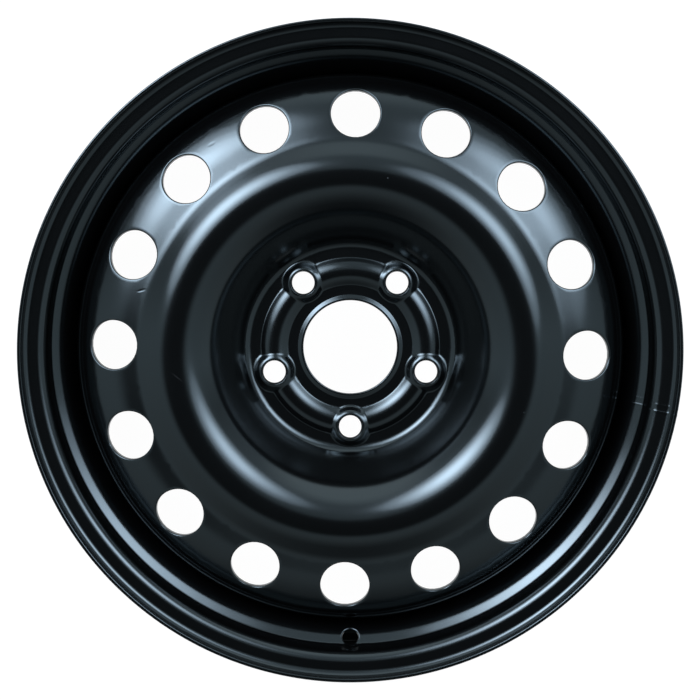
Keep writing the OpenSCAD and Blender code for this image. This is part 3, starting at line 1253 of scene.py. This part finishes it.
@dataclass(frozen=True)
class Scuff:
    """A short straight mark on the front of the coat.

    Attributes:
        middle: Place of its middle across and up the wheel's front.
        behind: Height along the axle line below which the sheet doesn't carry it.
        lean: Direction of its length, in degrees from +X towards +Y.
        length: Length from end to end.
        width: Width from side to side.
        depth: Depth in its middle.
        dust: Share of dust in its middle.
    """

    middle: tuple[float, float]
    behind: float
    lean: float
    length: float
    width: float
    depth: float
    dust: float

    def mask(self, n: NodeTree) -> bpy.types.NodeSocket:
        """Adds the nodes that measure a point's place in the mark.

        Args:
            n: The material's tree.

        Returns:
            A socket that is 1 in the middle of the mark and 0 outside it.
        """
        inputs = {
            "Vector": n.coords("Object"),
            "Location": (*(v * MM for v in self.middle), self.behind * MM),
            "Rotation": (0.0, 0.0, math.radians(self.lean)),
            "Scale": (self.length / 2 * MM, self.width / 2 * MM, MM),
        }
        axes = n.axes(n.add("ShaderNodeMapping", inputs, vector_type="TEXTURE").outputs["Vector"])
        inside = n.math("MAXIMUM", n.math("SUBTRACT", 1.0, n.squares(axes["X"], axes["Y"])), 0.0)
        return n.math("MULTIPLY", inside, n.math("GREATER_THAN", axes["Z"], 0.0))


@dataclass(frozen=True)
class BlackCoat:
    """A black dip coat on sheet steel.

    Attributes:
        name: Name of the material.
        colour: Linear colour of the coat.
        dust_colour: Linear colour of the dust on it.
        gloss: Roughness of the clean coat.
        gloss_spread: How far the roughness wanders.
        dust_share: Share of dust where it lies.
        ior: Refractive index of the coat.
        painted_cool_sheen: Linear tint of its reflections, a painted cool sheen that stands in for the cool
            light.
        peel: Depth of the orange peel, in millimetres.
        wave: Depth of the broad waves that the pressing and the dip leave, in millimetres.
        scuffs: Marks of handling.
    """

    name: str
    colour: Colour = (0.0016, 0.0017, 0.0018)
    dust_colour: Colour = (0.16, 0.165, 0.17)
    gloss: float = 0.15
    gloss_spread: float = 0.05
    dust_share: float = 0.02
    ior: float = 1.75
    # Painted cool sheen: a tint on the coat's reflections that stands in for cool light.
    painted_cool_sheen: Colour = (0.76, 0.93, 1.0)
    peel: float = 0.004
    wave: float = 0.012
    scuffs: tuple[Scuff, ...] = (
        Scuff((-147.8, 42.8), 83.0, 17.0, 7.5, 2.2, 0.1, 0.0),
        Scuff((-122.5, -18.3), 93.0, -39.0, 11.0, 0.7, 0.0, 0.12),
        Scuff((-98.3, 146.2), 75.0, 30.0, 7.0, 2.4, 0.05, 0.0),
    )

    def material(self) -> bpy.types.Material:
        """Gives the material, and builds it at the first call."""
        old = bpy.data.materials.get(self.name)
        if old:
            return old
        mat = bpy.data.materials.new(self.name)
        mat.use_nodes = True
        n = NodeTree(mat.node_tree)
        bsdf = mat.node_tree.nodes["Principled BSDF"]
        given = {
            "Dust Share": self.dust_share,
            "Gloss": self.gloss,
            "Gloss Spread": self.gloss_spread,
            "Peel Depth": self.peel,
            "Wave Depth": self.wave,
        }
        surface = n.add("ShaderNodeGroup", given, node_tree=CoatSurface.group())
        dust, height = surface.outputs["Dust"], surface.outputs["Height"]
        for scuff in self.scuffs:
            mask = scuff.mask(n)
            if scuff.depth:
                height = n.math("SUBTRACT", height, n.math("MULTIPLY", mask, scuff.depth))
            if scuff.dust:
                dust = n.math("ADD", dust, n.math("MULTIPLY", mask, scuff.dust))
        bump = n.add("ShaderNodeBump", {"Strength": 1.0, "Distance": MM, "Height": height})
        looks = {
            "Base Color": n.mix(dust, rgba(self.colour), rgba(self.dust_colour)),
            "Roughness": surface.outputs["Roughness"],
            "Normal": bump.outputs["Normal"],
            "IOR": self.ior,
            "Specular Tint": rgba(self.painted_cool_sheen),
        }
        for name, value in looks.items():
            n.put(bsdf.inputs[name], value)
        return mat

    def dress(self, obj: bpy.types.Object) -> None:
        """Puts the coat on a piece."""
        obj.data.materials.clear()
        obj.data.materials.append(self.material())


@dataclass(frozen=True)
class SoftLamp:
    """A studio lamp whose light fades from the middle of its face to the rim.

    Attributes:
        name: Name of the lamp.
        turn: Direction from the wheel's middle, clockwise from the top of the picture, in degrees.
        tilt: Angle from the axle line, in degrees.
        width: Angle across the tilt at which the light has faded to three fifths, in degrees from the middle.
        height: Angle along the tilt at which it has faded so, in degrees from the middle.
        glow: Brightness of the middle of its face, 1 being white.
        colour: Linear colour.
        distance: Distance from the wheel's middle, in metres.
        layer: Distance between two nested faces, in metres.
        fade: Reach of each nested face, as a share of width and height, and the share of the glow it adds.
    """

    name: str
    turn: float
    tilt: float
    width: float
    height: float
    glow: float
    colour: Colour
    distance: float = 2.6
    layer: float = 0.01
    fade: tuple[Span, ...] = ((2.1, 0.18), (1.55, 0.24), (1.1, 0.3), (0.65, 0.28))

    def build(self) -> None:
        """Makes the lamp's nested faces, aimed at the wheel."""
        tilt, turn = math.radians(self.tilt), math.radians(self.turn)
        way = Vector((math.sin(tilt) * math.sin(turn), math.sin(tilt) * math.cos(turn), math.cos(tilt)))
        for k, (reach, share) in enumerate(self.fade):
            light = bpy.data.lights.new(f"{self.name}_{k}", "AREA")
            light.shape = "ELLIPSE"
            light.size = 2 * self.distance * rise(self.width * reach)
            light.size_y = 2 * self.distance * rise(self.height * reach)
            light.energy = self.glow * share * math.pi**2 / 4 * light.size * light.size_y
            light.color = self.colour
            obj = bpy.data.objects.new(light.name, light)
            obj.location = way * (self.distance - self.layer * k)
            obj.rotation_euler = (-way).to_track_quat("-Z", "Y").to_euler()
            bpy.context.scene.collection.objects.link(obj)


@dataclass
class Studio:
    """The pale floor, the surroundings and the lamps, in metres.

    Attributes:
        floor_z: Height of the floor.
        floor_side: Length of its sides.
        floor_glow: Its brightness to the eye, 1 being white.
        floor_colour: Its linear colour under the lamps.
        pool: Distances from the wheel at which the glow starts to fade and has gone: a painted pool of light.
        foot: Places along Y at which the glow has gone and is whole, at the foot of the picture: painted
            shade on that side.
        painted_shadow_y: Place along Y of the middle of the painted shadow ring below the rim's edge.
        under_r: Radius of that painted shadow ring.
        painted_shadow_half: Distances from that radius at which the painted shadow starts to fade and has
            gone.
        painted_patch_side: Distances from the middle at which the ring's dark painted shade patch starts to
            fade and has gone.
        card: Place along Y, half width and top of the card of painted shade at the wheel's foot.
        painted_shade_colour: Linear colour of the card of painted shade and of the painted shade patch on the
            floor.
        walls: Places up the picture, 0 to 1, each with the surroundings' linear colour there.
        shade: Linear colour of the unlit side that the camera stands on.
        shade_middle: Direction of that side's middle, across and up the picture.
        shade_reach: Its half width and half height.
        shade_edge: Shares of that reach at which it starts to fade and has gone.
        outside: A share of that reach that is far outside it.
        lamps: The lamps.
    """

    floor_z: float
    floor_side: float = 6.0
    floor_glow: float = 0.975
    floor_colour: Colour = (0.12, 0.12, 0.12)
    pool: Span = (0.39, 1.1)
    foot: Span = (-0.345, -0.29)
    painted_shadow_y: float = -0.0155
    under_r: float = 0.224
    painted_shadow_half: Span = (0.018, 0.024)
    painted_patch_side: Span = (0.03, 0.06)
    card: tuple[float, float, float] = (-0.262, 0.06, 0.055)
    painted_shade_colour: Colour = (0.008, 0.008, 0.008)
    walls: tuple[tuple[float, float, float, float], ...] = (
        (0.0, 0.03, 0.033, 0.036),
        (0.15, 0.26, 0.285, 0.295),
        (0.5, 0.42, 0.49, 0.53),
        (0.66, 0.25, 0.29, 0.31),
        (0.86, 0.41, 0.47, 0.51),
        (0.95, 0.86, 0.95, 1.0),
    )
    shade: Colour = (0.025, 0.027, 0.028)
    shade_middle: Span = (-0.04, -0.15)
    shade_reach: Span = (0.46, 0.33)
    shade_edge: Span = (0.75, 1.35)
    outside: float = 9.0
    lamps: tuple[SoftLamp, ...] = (
        SoftLamp("left_lamp", -46.0, 39.5, 9.5, 11.0, 14.0, (0.82, 0.88, 1.0)),
        SoftLamp("right_lamp", 53.5, 37.5, 10.0, 10.3, 7.8, (0.8, 0.87, 1.0), 1.6),
    )

    def build(self) -> None:
        """Makes the floor, the card of painted shade, the surroundings and the lamps."""
        self.floor()
        self.painted_shade_card()
        self.surroundings()
        for lamp in self.lamps:
            lamp.build()

    def sheet(self, name: str, corners: Sequence[Sequence[float]]) -> tuple[bpy.types.Object, NodeTree]:
        """Makes one flat staged sheet.

        Args:
            name: Name of the sheet.
            corners: Its four corners.

        Returns:
            The sheet, marked as no part of the wheel, and the empty tree of its material.
        """
        mat = bpy.data.materials.new(name)
        mat.use_nodes = True
        mat.node_tree.nodes.clear()
        mesh = bpy.data.meshes.new(name)
        mesh.from_pydata([tuple(c) for c in corners], [], [(0, 1, 2, 3)])
        mesh.materials.append(mat)
        obj = bpy.data.objects.new(name, mesh)
        bpy.context.scene.collection.objects.link(obj)
        obj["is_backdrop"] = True
        return obj, NodeTree(mat.node_tree)

    def painted_shade_card(self) -> None:
        """Stands a small dark card at the wheel's foot, seen only in reflections, as painted shade that keeps
        the groove behind the valve hole dark.
        """
        (y, half, top), z = self.card, self.floor_z
        card, n = self.sheet("painted_shade_card", ((-half, y, z), (half, y, z), (half, y, top), (-half, y, top)))
        matt = n.add("ShaderNodeBsdfDiffuse", {"Color": rgba(self.painted_shade_colour)})
        n.add("ShaderNodeOutputMaterial", {"Surface": matt.outputs[0]})
        card.visible_camera = False
        card.visible_diffuse = False
        card.visible_shadow = False

    def floor(self) -> None:
        """Makes the pale floor, white to the eye: a glowing sheet with a painted pool of light, painted shade
        at the picture's foot and a painted shadow ring under the rim, dark below the valve hole; its matt
        part takes the wheel's real shadow.
        """
        h, z = self.floor_side / 2, self.floor_z
        _, n = self.sheet("floor", ((-h, -h, z), (h, -h, z), (h, h, z), (-h, h, z)))
        place = n.axes(n.coords("Object"))
        x, y = place["X"], place["Y"]
        # Painted shadow: the glow is taken out in a ring below the rim's edge, and a dark patch is painted in
        # that ring below the valve hole.
        away = n.math("SQRT", n.squares(x, n.math("SUBTRACT", y, self.painted_shadow_y)))
        outside_painted_shadow = n.fade(n.math("ABSOLUTE", n.math("SUBTRACT", away, self.under_r)), self.painted_shadow_half)
        off_painted_patch = n.fade(n.math("ABSOLUTE", x), self.painted_patch_side)
        # Painted pool of light round the wheel, faded into painted shade at the foot of the picture.
        pool = n.fade(away, self.pool, (self.floor_glow, 0.0))
        lit = n.math("MULTIPLY", n.math("MULTIPLY", pool, n.fade(y, self.foot)), outside_painted_shadow)
        seen = n.add("ShaderNodeLightPath").outputs
        show = n.math("MAXIMUM", seen["Is Camera Ray"], seen["Is Glossy Ray"])
        show = n.math("MAXIMUM", show, seen["Is Transmission Ray"])
        colour = n.mix(n.math("MAXIMUM", outside_painted_shadow, off_painted_patch), rgba(self.painted_shade_colour), rgba(self.floor_colour))
        glow = n.add("ShaderNodeEmission", {"Strength": n.math("MULTIPLY", show, lit)})
        matt = n.add("ShaderNodeBsdfDiffuse", {"Color": colour})
        both = n.add("ShaderNodeAddShader")
        for socket, shader in zip(both.inputs, (glow, matt)):
            n.put(socket, shader.outputs[0])
        n.add("ShaderNodeOutputMaterial", {"Surface": both.outputs[0]})

    def surroundings(self) -> None:
        """Makes the studio's pale surroundings, with the unlit side that the camera stands on."""
        world = bpy.data.worlds.new("studio")
        bpy.context.scene.world = world
        world.use_nodes = True
        n = NodeTree(world.node_tree)
        way = n.axes(n.coords("Generated"))
        parts = zip((way["X"], way["Y"]), self.shade_middle, self.shade_reach)
        shares = [n.math("DIVIDE", n.math("SUBTRACT", v, middle), reach) for v, middle, reach in parts]
        below = n.math("MULTIPLY", n.math("LESS_THAN", way["Z"], 0.0), self.outside)
        away = n.math("ADD", n.math("SQRT", n.squares(*shares)), below)
        wall = n.add("ShaderNodeValToRGB", {"Fac": n.fade(way["Y"], (-1.0, 1.0), soft=False)})
        stops = wall.color_ramp.elements
        while len(stops) < len(self.walls):
            stops.new(0.5)
        for stop, (at, *colour) in zip(stops, self.walls):
            stop.position = at
            stop.color = rgba(colour)
        lit = n.mix(n.fade(away, self.shade_edge), rgba(self.shade), wall.outputs["Color"])
        n.put(world.node_tree.nodes["Background"].inputs["Color"], lit)


@dataclass
class PhotoCamera:
    """The camera of the photograph: almost square to the wheel's front, a little above its middle.

    Attributes:
        aim_z: Height of the point on the axle line that it looks at, in millimetres.
        distance: Distance from that point, in millimetres.
        lean: Angle from the axle line towards +Y, in degrees.
        px_per_mm: Size of a millimetre at that point, in pixels of the picture.
        middle_px: Place of that point in the picture, from its upper left corner.
    """

    aim_z: float = 98.0
    distance: float = 2983.0
    lean: float = 4.5
    px_per_mm: float = 1.4143
    middle_px: tuple[float, float] = (350.2, 351.85)

    def build(self) -> None:
        """Makes the camera and hands it to the scene."""
        data = bpy.data.cameras.new("photo_camera")
        data.sensor_width = SENSOR_MM
        data.sensor_fit = "HORIZONTAL"
        data.lens = self.px_per_mm * self.distance * SENSOR_MM / IMAGE_PX
        data.shift_x = (IMAGE_PX / 2 - self.middle_px[0]) / IMAGE_PX
        data.shift_y = (self.middle_px[1] - IMAGE_PX / 2) / IMAGE_PX
        data.clip_end = CLIP_END_M
        obj = bpy.data.objects.new("photo_camera", data)
        lean = math.radians(self.lean)
        way = Vector((0.0, math.sin(lean), math.cos(lean)))
        obj.location = Vector((0.0, 0.0, self.aim_z * MM)) + way * self.distance * MM
        obj.rotation_euler = (-lean, 0.0, 0.0)
        bpy.context.scene.collection.objects.link(obj)
        bpy.context.scene.camera = obj


def main() -> None:
    """Builds the wheel's pieces in order, then the studio and the camera."""
    logging.basicConfig(level=logging.INFO, format="%(name)s: %(message)s")
    cad_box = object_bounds()
    bpy.context.scene.view_settings.view_transform = "Standard"
    sizes = WheelSizes()
    coat = BlackCoat("black_dip_coat")
    for part in (Rim(sizes, coat), Disc(sizes, coat), WeldBeads(sizes, coat)):
        piece = part.build()
        LOG.info("%s: %d faces", piece.name, len(piece.data.polygons))
    Studio(floor_z=float(cad_box[0][2])).build()
    PhotoCamera().build()


if __name__ == "__main__":
    main()
